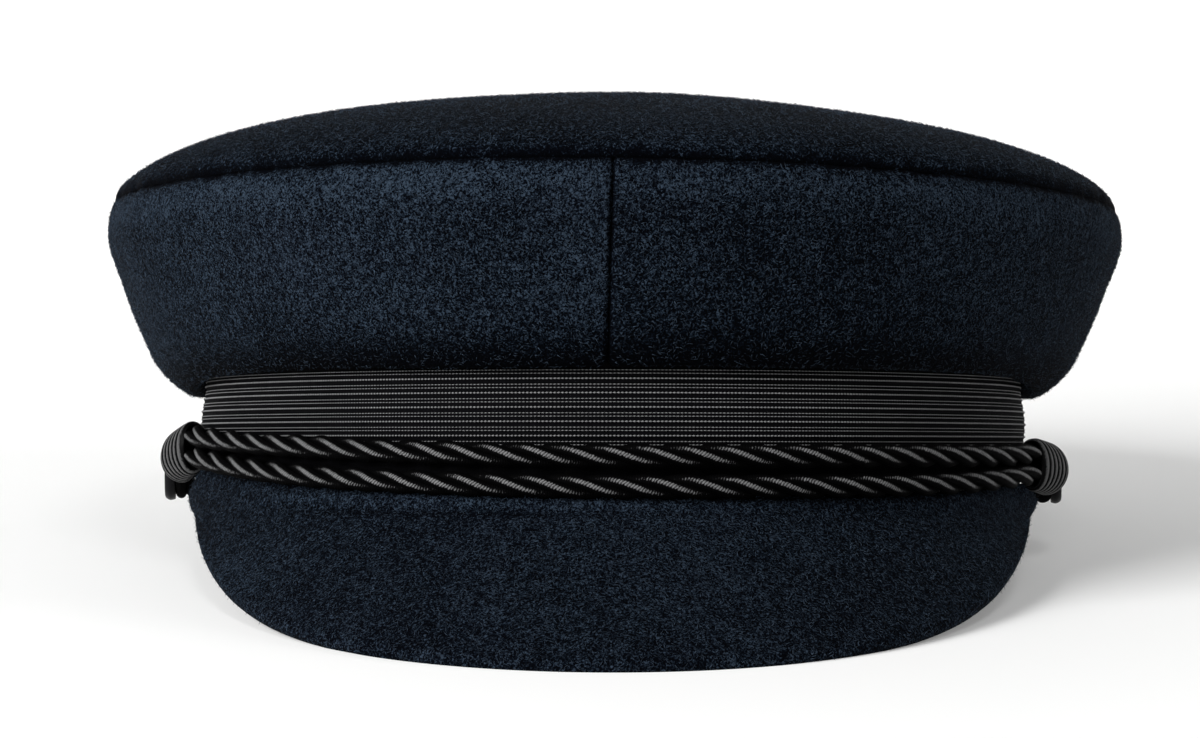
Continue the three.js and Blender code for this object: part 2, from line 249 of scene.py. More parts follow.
def through(rows, shares, steps=24):
    """Points of a smooth curve through rows of numbers, at shares of its length"""
    ends = np.vstack([2 * rows[0] - rows[1], rows, 2 * rows[-1] - rows[-2]])
    fine = []
    for before, start, end, after in zip(ends, ends[1:], ends[2:], ends[3:]):
        t = np.linspace(0, 1, steps, endpoint=False)[:, None]
        fine.append(0.5 * (2 * start + (end - before) * t + (2 * before - 5 * start + 4 * end - after) * t**2
                           + (3 * start - before - 3 * end + after) * t**3))
    fine = np.vstack([*fine, rows[-1:]])
    walked = np.concatenate([[0], np.cumsum(np.linalg.norm(np.diff(fine, axis=0), axis=1))])
    return np.stack([np.interp(shares * walked[-1], walked, column) for column in fine.T], axis=1)


class CapShape:
    """The cap's form in its own frame, where the band's lower edge is level, and how it rests on the floor"""

    def __init__(self, sizes):
        self.sizes = sizes
        self.half = np.array([sizes.head_half_width, sizes.head_half_length]) + sizes.band_wall
        self.angles = np.linspace(-math.pi / 2, 1.5 * math.pi, OVAL_POINTS)
        oval = self.half * np.stack([np.cos(self.angles), np.sin(self.angles)], axis=1)
        self.walked = np.concatenate([[0], np.cumsum(np.linalg.norm(np.diff(oval, axis=0), axis=1))])
        self.round = self.walked[-1]
        self.rim_radius = sizes.peak_thickness / 2
        self.tilt = self.rest_tilt()
        self.lift = -self.half[1] * math.sin(self.tilt) - PRESSED["band"]
        self.shift = self.row_shift()
        self.set_cord()

    def foot(self, arc):
        """Places on the band's outside, an arc length from the front, with their outward directions"""
        angle = np.interp(np.mod(arc, self.round), self.walked, self.angles)
        point = np.stack([self.half[0] * np.cos(angle), self.half[1] * np.sin(angle)], axis=-1)
        return point, unit(point / self.half**2)

    def forward(self, arc):
        return -self.foot(arc)[0][..., 1] / self.half[1]

    def place(self, arc, outward, height):
        arc, outward, height = np.broadcast_arrays(arc, outward, height)
        point, out = self.foot(arc)
        level = point + out * outward[..., None]
        return np.concatenate([level, height[..., None]], axis=-1)

    def rest_tilt(self):
        """The tilt that puts the rim of the peak and the back of the band on one level"""
        _, y, z = self.peak_middle(np.array(0.0), np.array(1.0))
        reach = self.half[1] - y
        drop = self.rim_radius + PRESSED["band"] - PRESSED["peak"]
        return math.atan2(z, reach) - math.asin(drop / math.hypot(reach, z))

    def row_shift(self):
        """How far the cap is moved along Y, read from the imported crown's rearmost point"""
        arc = np.array(self.round / 2)
        rows = self.turned(self.side_points(arc[None], SIDE_SECTION))
        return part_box("crown_side_left")[1].y - rows[..., 1].max()

    def turned(self, points):
        sin, cos = math.sin(self.tilt), math.cos(self.tilt)
        x, y, z = np.moveaxis(points, -1, 0)
        return np.stack([x, y * cos - z * sin, y * sin + z * cos + self.lift], axis=-1)

    def seated(self, points):
        """Points of the cap's own frame, where they are on the floor, pressed flat if they would reach below it"""
        placed = self.turned(points) + (0, self.shift, 0)
        placed[..., 2] = np.maximum(placed[..., 2], 0)
        return placed

    def crown_size(self, size, forward):
        row = CROWN[size]
        end = np.where(forward > 0, row["front"], row["back"])
        return end + (row["side"] - end) * (1 - forward**2) ** row["spread"]

    def side_points(self, arc, section):
        """A side panel's outer face: one row of points for each arc"""
        foot, _ = self.foot(arc)
        forward, rightward = -foot[..., 1] / self.half[1], foot[..., 0] / self.half[0]
        hem = self.crown_size("hem", forward)[..., None]
        height = self.crown_size("seam", forward)[..., None] - CROWN_LEAN * rightward[..., None] - hem
        flare = self.crown_size("flare", forward)[..., None]
        lean = RIGHT_FLARE * np.maximum(rightward, 0)[..., None] ** 4 * section[:, 0] ** 2
        return self.place(arc[..., None], GAP + section[:, 1] * flare + lean, hem + section[:, 0] * height)

    def top_points(self, arc, rings):
        """The top panel's upper face, from its seam to its middle"""
        seam = self.side_points(arc, SIDE_SECTION[-1:]) + (0, 0, SEAM)
        middle = np.array([*TOP_MIDDLE, CROWN["seam"]["side"]])
        points = middle + (seam - middle) * rings[:, None]
        points[..., 2] += self.sizes.top_rise * (1 - rings**2) ** TOP_ROUNDNESS
        return points

    def band_swell(self, arc, height):
        """How far the ribbon stands out at a height, between the cord and the crown"""
        start = self.cord_height(arc) + self.strand_rise(arc)
        share = np.clip((height - start) / (self.crown_size("hem", self.forward(arc)) - start), 0, 1)
        return BAND_SWELL * np.sin(math.pi * share)

    def peak_length(self, arc):
        narrow = np.maximum(self.forward(arc), 0)
        return PEAK_END_LENGTH + (self.sizes.peak_length - PEAK_END_LENGTH) * narrow**PEAK_NARROWING

    def peak_slope(self, arc):
        narrow = np.maximum(self.forward(arc), 0)
        return self.sizes.peak_end_slope + (self.sizes.peak_slope - self.sizes.peak_end_slope) * narrow**2

    def peak_middle(self, arc, share):
        """Half way through the peak, from its root (share 0) to the middle of its half-round rim (share 1)"""
        slope = self.peak_slope(arc)
        along = share * (self.peak_length(arc) - self.rim_radius)
        under = self.rim_radius + PEAK_CAMBER * (along / self.sizes.peak_length) ** 2
        outward = along * np.cos(slope) - under * np.sin(slope)
        downward = along * np.sin(slope) + under * np.cos(slope)
        return self.place(arc, GAP + outward, PEAK_ROOT - downward)

    def set_cord(self):
        """The places along the band where the cord meets its slides and buttons"""
        self.cord_radius = self.sizes.cord_diameter / 2
        self.loop_radius = BUTTON_SHANK + GAP + self.cord_radius
        self.button_arc = self.round / 4 - BUTTON_AHEAD
        self.loop_start = self.button_arc - BUTTON_SHANK
        self.slide_rear = self.button_arc - self.sizes.button_radius - GAP
        self.slide_front = self.slide_rear - SLIDE_LENGTH
        self.slide_arc = self.slide_rear - SLIDE_LENGTH / 2
        self.front_outward = GAP + self.cord_radius
        self.end_outward = self.front_outward + GAP + SLIDE_WALL

    def cord_outward(self, arc):
        """How far the cord's middle stands out from the band: it leans out through the slides to the buttons"""
        places = [self.slide_front - CORD_LEAN["ahead"], self.slide_front, self.slide_rear, self.button_arc]
        rise = [self.front_outward, self.front_outward + CORD_LEAN["out"], self.end_outward, self.end_outward]
        lean = np.where(arc < 0, SLIDE_LEAN["left"], SLIDE_LEAN["right"])
        return np.interp(np.abs(arc), places, rise) + lean * np.interp(np.abs(arc), places, [0, 0, 1, 0])

    def cord_height(self, arc):
        """Height half way between the two strands"""
        sides = [SLIDE_HEIGHT["left"], SLIDE_HEIGHT["right"]]
        front, rear, power = (np.where(arc < 0, *(side[size] for side in sides)) for size in sides[0])
        away = np.abs(arc)
        height = CORD_HEIGHT + (front - CORD_HEIGHT) * np.minimum(away / self.slide_front, 1) ** power
        height += (rear - height) * np.clip((away - self.slide_front) / SLIDE_LENGTH, 0, 1)
        return height + (self.button_height(arc) - height) * smooth(away, self.slide_rear, self.loop_start)

    def button_height(self, arc):
        return np.where(np.asarray(arc) < 0, BUTTON_HEIGHT["left"], BUTTON_HEIGHT["right"])

    def strand_rise(self, arc):
        """Half the distance between the two strands"""
        closed = smooth(np.abs(arc), CORD_CLOSING, self.slide_front)
        front = (CORD_SPACING["front"] + (CORD_SPACING["slide"] - CORD_SPACING["front"]) * closed) / 2
        return front + (self.loop_radius - front) * smooth(np.abs(arc), self.slide_rear, self.loop_start)

    def cord_route(self):
        """The cord's closed way: the upper strand, round the right button, the lower strand, round the left button.
        It starts and ends inside the left slide. With it come each point's distance along the band and the direction
        that its painted highlight faces, outwards and a little up."""
        way, arcs = [], []
        for side in (1, -1):
            arc = side * np.linspace(-self.button_arc, self.button_arc, MESH["strand"])
            way.append(self.place(arc, self.cord_outward(arc), self.cord_height(arc) + side * self.strand_rise(arc)))
            angle = np.linspace(math.pi / 2, -math.pi / 2, MESH["loop"])[1:-1]
            loop = side * (self.button_arc + self.loop_radius * np.cos(angle))
            height = self.button_height(loop) + side * self.loop_radius * np.sin(angle)
            way.append(self.place(loop, self.end_outward, height))
            arcs += [arc, loop]
        way, arcs = np.vstack(way), np.concatenate(arcs)
        order = np.roll(np.arange(len(arcs)), -np.argmax(arcs > -self.slide_arc))
        order = np.append(order, order[0])
        _, out = self.foot(arcs[order])
        return self.seated(way[order]), arcs[order], np.pad(out, ((0, 0), (0, 1)), constant_values=CORD_SHEEN_UPWARD)


class Value:
    """A socket in a node tree. A sum written on it adds its Math node."""

    def __init__(self, graph, socket):
        self.graph = graph
        self.socket = socket

    def _sum(self, operation, first, second):
        return self.graph.node("ShaderNodeMath", {"operation": operation}, {0: first, 1: second})[0]

    def __add__(self, other):
        return self._sum("ADD", self, other)

    def __sub__(self, other):
        return self._sum("SUBTRACT", self, other)

    def __rsub__(self, other):
        return self._sum("SUBTRACT", other, self)

    def __mul__(self, other):
        return self._sum("MULTIPLY", self, other)

    def __truediv__(self, other):
        return self._sum("DIVIDE", self, other)

    def __rtruediv__(self, other):
        return self._sum("DIVIDE", other, self)

    __radd__ = __add__
    __rmul__ = __mul__


class Made:
    """A node that was added, whose outputs are read by name or number"""

    def __init__(self, graph, node):
        self.graph = graph
        self.node = node

    def __getitem__(self, output):
        return Value(self.graph, self.node.outputs[output])


class Graph:
    """Adds nodes to one shader or geometry tree"""

    def __init__(self, tree):
        self.tree = tree

    def node(self, kind, settings=None, sockets=None):
        """A node of that type, with its settings made first and then its sockets' values or links"""
        node = self.tree.nodes.new(kind)
        for name, value in (settings or {}).items():
            if name == "stops":
                ramp = node.color_ramp.elements
                for stop in value[2:]:
                    ramp.new(stop[0])
                for element, (position, colour) in zip(ramp, value):
                    element.position = position
                    element.color = (*colour, 1)
            else:
                setattr(node, name, value)
        for name, value in (sockets or {}).items():
            if isinstance(value, Value):
                self.tree.links.new(value.socket, node.inputs[name])
            else:
                node.inputs[name].default_value = value
        return Made(self, node)


def surface(name, build):
    """A material whose shader is made by a function of its graph and of Object coordinates"""
    material = bpy.data.materials.new(name)
    material.use_nodes = True
    material.node_tree.nodes.clear()
    graph = Graph(material.node_tree)
    place = graph.node("ShaderNodeTexCoord")["Object"]
    shader = build(graph, place)
    graph.node("ShaderNodeOutputMaterial", sockets={"Surface": shader})
    return material


def grain(graph, place, scale, detail=2.0, roughness=0.5, distortion=0.0):
    sockets = {
        "Vector": place, "Scale": scale, "Detail": detail, "Roughness": roughness, "Distortion": distortion}
    return graph.node("ShaderNodeTexNoise", sockets=sockets)["Fac"]


def bumped(graph, height, distance, strength=1.0):
    return graph.node("ShaderNodeBump", sockets={"Height": height, "Distance": distance, "Strength": strength})[0]


def scaled(colour, by):
    return [by * part for part in colour]


def mixed(graph, factor, dark, light):
    """A colour between two others"""
    sockets = {"Factor": factor, 6: (*dark, 1), 7: (*light, 1)}
    return graph.node("ShaderNodeMix", {"data_type": "RGBA"}, sockets)[2]


def ramp(graph, factor, stops):
    """A colour from a row of places and colours"""
    return graph.node("ShaderNodeValToRGB", {"stops": stops}, {"Fac": factor})[0]


def mark(graph, name, output="Fac"):
    """What a mesh keeps in an attribute"""
    return graph.node("ShaderNodeAttribute", {"attribute_name": name})[output]


def finish(graph, colour, roughness, specular, **others):
    """The shader of a finish, with any other sockets"""
    sockets = {"Base Color": colour, "Roughness": roughness, "Specular IOR Level": specular, **others}
    return graph.node("ShaderNodeBsdfPrincipled", sockets=sockets)[0]


def wool_material(colours, name="navy_wool"):
    """Milled navy wool: a felted ground with pale fibre ends and slow changes of tone. The right side, the top and the
    peak take darker copies with fewer of them, as painted shade. The mesh's attribute adds painted shade in creases,
    seams and at the hem, and a painted highlight on edges that catch the light."""

    def build(graph, place):
        fleck = grain(graph, place, 2700, roughness=0.6, distortion=0.8)
        tuft = grain(graph, place, 700)
        cloud = grain(graph, place, 35)
        # The mesh's attribute adds painted shade in creases, seams and at the hem and a painted highlight on edges; the
        # panel's shift is painted shade
        shade = fleck + (tuft - 0.5) * 0.25 + (cloud - 0.5) * 0.12 + mark(graph, "wear") - WOOL_PAINTED_SHADE[name]
        shades = [(0.41, colours.wool_dark), (0.5, colours.wool), (0.65, colours.wool_light)]
        colour = ramp(graph, shade, [(stop, scaled(colour, WOOL_TONE)) for stop, colour in shades])
        normal = bumped(graph, fleck * 0.7 + tuft * 0.6, 0.0006, 0.9)
        return finish(graph, colour, 0.95, 0.03, Normal=normal)

    return surface(name, build)


def fibre_material(colours):
    """Single fibre ends that catch the light"""

    def build(graph, place):
        stops = [(0.35, colours.wool), (0.55, colours.wool_light), (0.75, scaled(colours.wool_light, 1.6))]
        colour = ramp(graph, grain(graph, place, 600), stops)
        return finish(graph, colour, 0.8, 0.15)

    return bpy.data.materials.get("wool_fibre") or surface("wool_fibre", build)


def ribbon_material(colours):
    """Black ribbon ground between the raised threads"""

    def build(graph, place):
        weft = grain(graph, place, 1400)
        colour = mixed(graph, weft, colours.ribbon, scaled(colours.ribbon, 3))
        return finish(graph, colour, 0.8, 0.015, Normal=bumped(graph, weft, 0.0003, 0.6))

    return surface("ribbon_ground", build)


def thread_material(colours):
    """Raised satin threads of the ribbon, painted pale grey in patches as a painted sheen"""

    def build(graph, place):
        fibre = grain(graph, place, 2600)
        patchy_sheen = fibre * 0.6 + grain(graph, place, 180) * 0.4
        colour = mixed(graph, patchy_sheen, scaled(colours.thread, 0.45), scaled(colours.thread, 1.7))
        return finish(graph, colour, 0.34 + fibre * 0.16, 0.06)

    return surface("ribbon_thread", build)


def facing(graph, attribute, other=None):
    """How far a surface, or the direction in another attribute, faces the direction that its mesh keeps in one"""
    way = mark(graph, attribute, "Vector")
    second = mark(graph, other, "Vector") if other else graph.node("ShaderNodeNewGeometry")["Normal"]
    return graph.node("ShaderNodeVectorMath", {"operation": "DOT_PRODUCT"}, {0: way, 1: second})["Value"]


def crown_of(graph, raised, start, end=1.0):
    """1 where a thread is raised most, 0 from where it is raised less than start"""
    sockets = {"Value": raised, "From Min": start, "From Max": end}
    return graph.node("ShaderNodeMapRange", {"interpolation_type": "SMOOTHSTEP"}, sockets)[0]


def cord_material(colours):
    """Black satin plies, each wrapped with fine thread that lies across it. A painted highlight makes them pale where
    they face away from the cap and a little upwards, in leaf shapes with ragged edges."""
    wrap_pitch = 0.00044

    def build(graph, place):
        fibre = grain(graph, place, 2600, 3, 0.6)
        turns = mark(graph, "along") * (2 * math.pi / wrap_pitch) + fibre * 6 + facing(graph, "across") * 7
        wrap = graph.node("ShaderNodeMath", {"operation": "SINE"}, {0: turns})[0]
        # The leaf is a painted highlight where the plies face outwards and a little up
        leaf = facing(graph, "away") + facing(graph, "out") * 0.18 - facing(graph, "out", "away") * 0.08
        crown = crown_of(graph, leaf + (fibre - 0.5) * 0.24 + wrap * 0.03, 0.97, 1.1)
        colour = mixed(graph, crown * (wrap * 0.36 + 0.64), colours.cord, colours.cord_sheen)
        normal = bumped(graph, wrap * 0.5 + fibre * 0.3, 0.00008, 0.7)
        return finish(graph, colour, 0.75 - crown * 0.35, 0.02, Normal=normal)

    return surface("satin_cord", build)


def winding_material(colours):
    """Smooth black thread of the slides, with a painted highlight along its crests"""

    def build(graph, place):
        fibre = grain(graph, place, 3000)
        crown = crown_of(graph, mark(graph, "wear") + (fibre - 0.5) * 0.3, 0.82)
        colour = mixed(graph, crown * 0.48, colours.cord, colours.cord_sheen)
        return finish(graph, colour, 0.36 + fibre * 0.12, 0.03, Normal=bumped(graph, fibre, 0.00005, 0.5))

    return surface("satin_winding", build)


def button_material(colours):
    """Plain black button with faint rub marks"""

    def build(graph, place):
        rub = grain(graph, place, 700, 4, 0.7)
        colour = mixed(graph, rub, colours.button, scaled(colours.button, 2))
        return finish(graph, colour, 0.3 + rub * 0.2, 0.08, Normal=bumped(graph, rub, 0.00005, 0.4))

    return surface("black_button", build)


def floor_material(colours):
    """Pale paper that glows a little, as if lit from all round"""

    def build(graph, place):
        colour = mixed(graph, grain(graph, place, 6), scaled(colours.floor, 0.985), colours.floor)
        glow = {"Emission Color": (*colours.floor, 1), "Emission Strength": 0.15}
        return finish(graph, colour, 0.8, 0.2, **glow)

    return surface("pale_floor", build)


def tree_with(name, inputs):
    """A geometry tree with those named inputs, its graph and its input node"""
    tree = bpy.data.node_groups.new(name, "GeometryNodeTree")
    tree.interface.new_socket("Geometry", in_out="INPUT", socket_type="NodeSocketGeometry")
    for label, kind in inputs.items():
        tree.interface.new_socket(label, in_out="INPUT", socket_type=kind)
    tree.interface.new_socket("Geometry", in_out="OUTPUT", socket_type="NodeSocketGeometry")
    graph = Graph(tree)
    return tree, graph, graph.node("NodeGroupInput")


def tree_end(graph, geometry, material):
    """Realize Instances and Set Material close a tree that makes a piece"""
    plain = graph.node("GeometryNodeRealizeInstances", sockets={"Geometry": geometry})[0]
    shaded = graph.node("GeometryNodeSetShadeSmooth", sockets={"Geometry": plain})[0]
    dressed = graph.node("GeometryNodeSetMaterial", sockets={"Geometry": shaded, "Material": material})[0]
    graph.node("NodeGroupOutput", sockets={"Geometry": dressed})


def stored(graph, geometry, name, value, kind):
    return graph.node("GeometryNodeStoreNamedAttribute", {"data_type": kind, "domain": "POINT"}, {
        "Geometry": geometry, "Name": name, "Value": value})[0]


def kept(graph, name, kind):
    return graph.node("GeometryNodeInputNamedAttribute", {"data_type": kind}, {"Name": name})[0]


def wound(graph, curve, given):
    """Plies wound round a curve, as many turns as its attribute turn says, with their directions from it"""
    copies = graph.node("GeometryNodeDuplicateElements", {"domain": "SPLINE"}, {
        "Geometry": curve, "Amount": given["Plies"]})
    share = kept(graph, "turn", "FLOAT") + copies["Duplicate Index"] / given["Plies"]
    along = graph.node("GeometryNodeInputTangent")[0]
    turned = graph.node("ShaderNodeVectorRotate", {"rotation_type": "AXIS_ANGLE"}, {
        "Vector": graph.node("GeometryNodeInputNormal")[0], "Axis": along, "Angle": share * (2 * math.pi)})[0]
    marked = stored(graph, copies["Geometry"], "out", turned, "FLOAT_VECTOR")
    out = kept(graph, "out", "FLOAT_VECTOR")
    across = graph.node("ShaderNodeVectorMath", {"operation": "CROSS_PRODUCT"}, {0: along, 1: out})[0]
    marked = stored(graph, marked, "across", across, "FLOAT_VECTOR")
    offset = graph.node("ShaderNodeVectorMath", {"operation": "SCALE"}, {0: out, "Scale": given["Offset"]})[0]
    return graph.node("GeometryNodeSetPosition", sockets={"Geometry": marked, "Offset": offset})[0]


def even_curve(graph, given, step):
    """The lines that a tree is given, as curves with even steps"""
    rows = graph.node("GeometryNodeMeshToCurve", sockets={"Mesh": given["Geometry"]})[0]
    return graph.node("GeometryNodeResampleCurve", {"mode": "LENGTH"}, {"Curve": rows, "Length": given[step]})[0]


def tubes(graph, curve, given):
    """Tubes along a curve, which keep their length in the attribute along, end the tree"""
    walked = graph.node("GeometryNodeSplineParameter")["Length"]
    marked = stored(graph, curve, "along", walked, "FLOAT")
    ring = graph.node("GeometryNodeCurvePrimitiveCircle", {"mode": "RADIUS"}, {
        "Resolution": given["Sides"], "Radius": given["Radius"]})[0]
    walls = graph.node("GeometryNodeCurveToMesh", sockets={
        "Curve": marked, "Profile Curve": ring, "Fill Caps": True})[0]
    tree_end(graph, walls, given["Material"])


def rope_tree():
    """Plies wound round a line"""
    tree, graph, given = tree_with("Rope", {
        "Step": "NodeSocketFloat", "Plies": "NodeSocketInt", "Offset": "NodeSocketFloat",
        "Radius": "NodeSocketFloat", "Sides": "NodeSocketInt", "Material": "NodeSocketMaterial"})
    tubes(graph, wound(graph, even_curve(graph, given, "Step"), given), given)
    return tree


def ribbon_tree():
    """Floats of raised thread along rows: small beads, as long and thick as each row says"""
    tree, graph, given = tree_with("Ribbon Threads", {
        "Pitch": "NodeSocketFloat", "Length": "NodeSocketFloat", "Material": "NodeSocketMaterial"})
    even = even_curve(graph, given, "Pitch")
    thick = kept(graph, "thick", "FLOAT")
    turn = graph.node("FunctionNodeAlignRotationToVector", {"axis": "X"}, {
        "Vector": graph.node("GeometryNodeInputTangent")[0]})[0]
    size = graph.node("ShaderNodeCombineXYZ", sockets={0: given["Length"], 1: thick, 2: thick})[0]
    ball = graph.node("GeometryNodeMeshUVSphere", sockets={"Segments": 4, "Rings": 2, "Radius": 0.5})[0]
    bead = graph.node("GeometryNodeTransform", sockets={"Geometry": ball, "Rotation": (math.pi / 4, 0, 0)})[0]
    beads = graph.node("GeometryNodeInstanceOnPoints", sockets={
        "Points": even, "Instance": bead, "Rotation": turn, "Scale": size})[0]
    tree_end(graph, beads, given["Material"])
    return tree


def nap_tree():
    """Short fibre ends that lie over a cloth face in all directions"""
    tree, graph, given = tree_with("Wool Nap", {
        "Density": "NodeSocketFloat", "Length": "NodeSocketFloat", "Radius": "NodeSocketFloat",
        "Seed": "NodeSocketInt", "Material": "NodeSocketMaterial"})
    ends = graph.node("GeometryNodeDistributePointsOnFaces", {"distribute_method": "RANDOM"}, {
        "Mesh": given["Geometry"], "Density": given["Density"], "Seed": given["Seed"]})
    least, most = (0.95, 0, 0), (1.4, 0, 2 * math.pi)  # lean from upright, and any way round
    angles = graph.node("FunctionNodeRandomValue", {"data_type": "FLOAT_VECTOR"}, {
        0: least, 1: most, "Seed": given["Seed"]})[0]
    lean = graph.node("FunctionNodeEulerToRotation", sockets={0: angles})[0]
    turn = graph.node("FunctionNodeRotateRotation", {"rotation_space": "LOCAL"}, {
        "Rotation": ends["Rotation"], "Rotate By": lean})[0]
    shortest, longest = 0.6, 1.4
    size = graph.node("FunctionNodeRandomValue", {"data_type": "FLOAT"}, {
        2: shortest, 3: longest, "Seed": given["Seed"]})[1]
    fibre = graph.node("GeometryNodeMeshCone", {"fill_type": "NGON"}, {
        "Vertices": 3, "Side Segments": 1, "Fill Segments": 1, "Radius Top": 0.0, "Radius Bottom": given["Radius"],
        "Depth": given["Length"]})[0]
    fibres = graph.node("GeometryNodeInstanceOnPoints", sockets={
        "Points": ends["Points"], "Instance": fibre, "Rotation": turn, "Scale": size})[0]
    tree_end(graph, fibres, given["Material"])
    return tree


def grown(source, tree, values, name):
    """The plain mesh object that a geometry tree makes from a source object, which is removed"""
    modifier = source.modifiers.new(tree.name, "NODES")
    modifier.node_group = tree
    for item in tree.interface.items_tree:
        if item.in_out == "INPUT" and item.name in values:
            modifier[item.identifier] = values[item.name]
    graph = bpy.context.evaluated_depsgraph_get()
    mesh = bpy.data.meshes.new_from_object(source.evaluated_get(graph), depsgraph=graph)
    source.modifiers.remove(modifier)
    bpy.data.objects.remove(source)
    if not mesh.polygons:
        raise RuntimeError(f"{tree.name} made nothing for {name}")
    mesh.name = name
    return linked(name, mesh)


def linked(name, data):
    piece = bpy.data.objects.new(name, data)
    bpy.context.scene.collection.objects.link(piece)
    return piece


def lines(name, rows, closed, **marks):
    """Rows of points joined by edges, with a named number or vector at each point"""
    count, size, _ = rows.shape
    number = np.arange(count * size).reshape(count, size)
    edges = np.stack([number, np.roll(number, -1, axis=1)], axis=-1)
    if not closed:
        edges = edges[:, :-1]
    mesh = bpy.data.meshes.new(name)
    mesh.from_pydata(rows.reshape(-1, 3).tolist(), edges.reshape(-1, 2).tolist(), [])
    for label, values in marks.items():
        kind, field = ("FLOAT_VECTOR", "vector") if values.ndim == 3 else ("FLOAT", "value")
        mesh.attributes.new(label, kind, "POINT").data.foreach_set(field, values.ravel())
    return linked(name, mesh)


def mesh_piece(name, points, faces, material, wear):
    """A smooth mesh object whose faces point outwards, with the painted light and shade of its cloth at each point"""
    mesh = bpy.data.meshes.new(name)
    mesh.from_pydata(points.tolist(), [], faces)
    if wear is not None:
        mesh.attributes.new("wear", "FLOAT", "POINT").data.foreach_set("value", wear.ravel())
    work = bmesh.new()
    work.from_mesh(mesh)
    bmesh.ops.remove_doubles(work, verts=work.verts, dist=1e-7)
    bmesh.ops.recalc_face_normals(work, faces=work.faces)
    work.to_mesh(mesh)
    work.free()
    mesh.shade_smooth()
    mesh.materials.append(material)
    return linked(name, mesh)


def lofted(name, loops, material, closed, wear=None):
    """The solid through closed loops of points. An open row of loops is capped at both ends."""
    count, size, _ = loops.shape
    number = np.arange(count * size).reshape(count, size)
    ahead = np.roll(number, -1, axis=0) if closed else number[1:]
    start = number if closed else number[:-1]
    faces = np.stack([start, np.roll(start, -1, axis=1), np.roll(ahead, -1, axis=1), ahead], axis=-1)
    faces = faces.reshape(-1, 4).tolist()
    if not closed:
        faces += [number[0].tolist(), number[-1].tolist()]
    return mesh_piece(name, loops.reshape(-1, 3), faces, material, wear)


def normals(grid, closed=False):
    """Unit normals of a grid of points, from the directions of its two ways"""
    if closed:
        along = np.roll(grid, -1, axis=0) - np.roll(grid, 1, axis=0)
    else:
        along = np.gradient(grid, axis=0)
    across = np.gradient(grid, axis=1)
    return unit(np.cross(along, across) + 1e-15)


def distance_from(grid, axis, last=False):
    """How far each point of a grid is from its first or last point along one of its ways"""
    steps = np.linalg.norm(np.diff(grid, axis=axis), axis=-1)
    walked = np.cumsum(steps, axis=axis)
    walked = np.concatenate([np.zeros_like(np.take(walked, [0], axis=axis)), walked], axis=axis)
    return np.take(walked, [-1], axis=axis) - walked if last else walked


def tucked(seam, distance):
    """How deep cloth rolls in towards a seam, at a distance from it"""
    width, depth = TUCK[seam]
    return depth * np.clip(1 - distance / width, 0, 1) ** TUCK_POWER


def near(distance, width):
    """1 at a line and 0 away from it"""
    return np.exp(-((distance / width) ** 2))


def padded_to(wear, loops):
    """Painted light and shade of the faces that show, with none for the rest of each loop"""
    rest = np.zeros((loops.shape[0], loops.shape[1] - wear.shape[1]))
    return np.concatenate([wear, rest], axis=1)


def waves(points, size, seed):
    """Soft, fixed unevenness between -1 and 1"""
    places = points.reshape(-1, 3) / size + (seed * 7.31, seed * 3.17, seed * 5.03)
    values = [noise.noise(Vector(place)) for place in places.tolist()]
    return np.array(values).reshape(points.shape[:-1])


def swelling(panel, grid, distance):
    """Soft unevenness of a panel, none at its seam"""
    height, size, reach, seed = SWELL[panel]
    return height * waves(grid, size, seed) * smooth(distance, 0, reach)


def along_seam(shape, arc, size, seed):
    """Unevenness along the top seam, the same on both of its panels"""
    return waves(np.pad(shape.foot(arc)[0], ((0, 0), (0, 1))), size, seed)[..., None]


def puckers(shape, arc, distance):
    """Small gathers beside the top seam"""
    return GATHER["height"] * along_seam(shape, arc, GATHER["size"], 2) * np.exp(-distance / GATHER["reach"])


def crease_shade(panel, shape, arc, distance):
    """Painted shade along the crease of the top seam on one of its panels, uneven along it"""
    uneven = along_seam(shape, arc, 0.0028, 4)
    return (0.14 + 0.12 * uneven) * near(distance, CREASE_SHADE_WIDTH[panel] * (1 + 0.4 * uneven))


def thinned(grid, count):
    """A grid with fewer rows, for a face that stays out of sight"""
    return grid[:, np.linspace(0, grid.shape[1] - 1, count).round().astype(int)]


def nap(panel, grid, out, material):
    """Fibre ends over the outer face of a cloth panel"""
    count, size, _ = grid.shape
    number = np.arange(count * size).reshape(count, size)
    faces = np.stack([number[:-1, :-1], number[:-1, 1:], number[1:, 1:], number[1:, :-1]], axis=-1)
    way = np.cross(grid[:-1, 1:] - grid[:-1, :-1], grid[1:, :-1] - grid[:-1, :-1])
    if (way * out[:-1, :-1]).sum() < 0:
        faces = faces[..., ::-1]
    mesh = bpy.data.meshes.new("face")
    mesh.from_pydata(grid.reshape(-1, 3).tolist(), [], faces.reshape(-1, 4).tolist())
    values = {
        "Density": 1.2e6, "Length": 0.0008, "Radius": 0.000055, "Seed": NAP_SEED[panel], "Material": material}
    tree = bpy.data.node_groups.get("Wool Nap") or nap_tree()
    dress(grown(linked("face", mesh), tree, values, panel + "_nap"), "wool")


def dress(piece, slot, *nodes):
    """The piece rides on the cap and stands for its nodes, which it hides. Its slot is not used."""
    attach(piece, "root")
    if nodes:
        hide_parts(*nodes)


def scene_cap():
    scene = bpy.context.scene
    return CapShape(scene.cap_sizes), scene.cap_colours


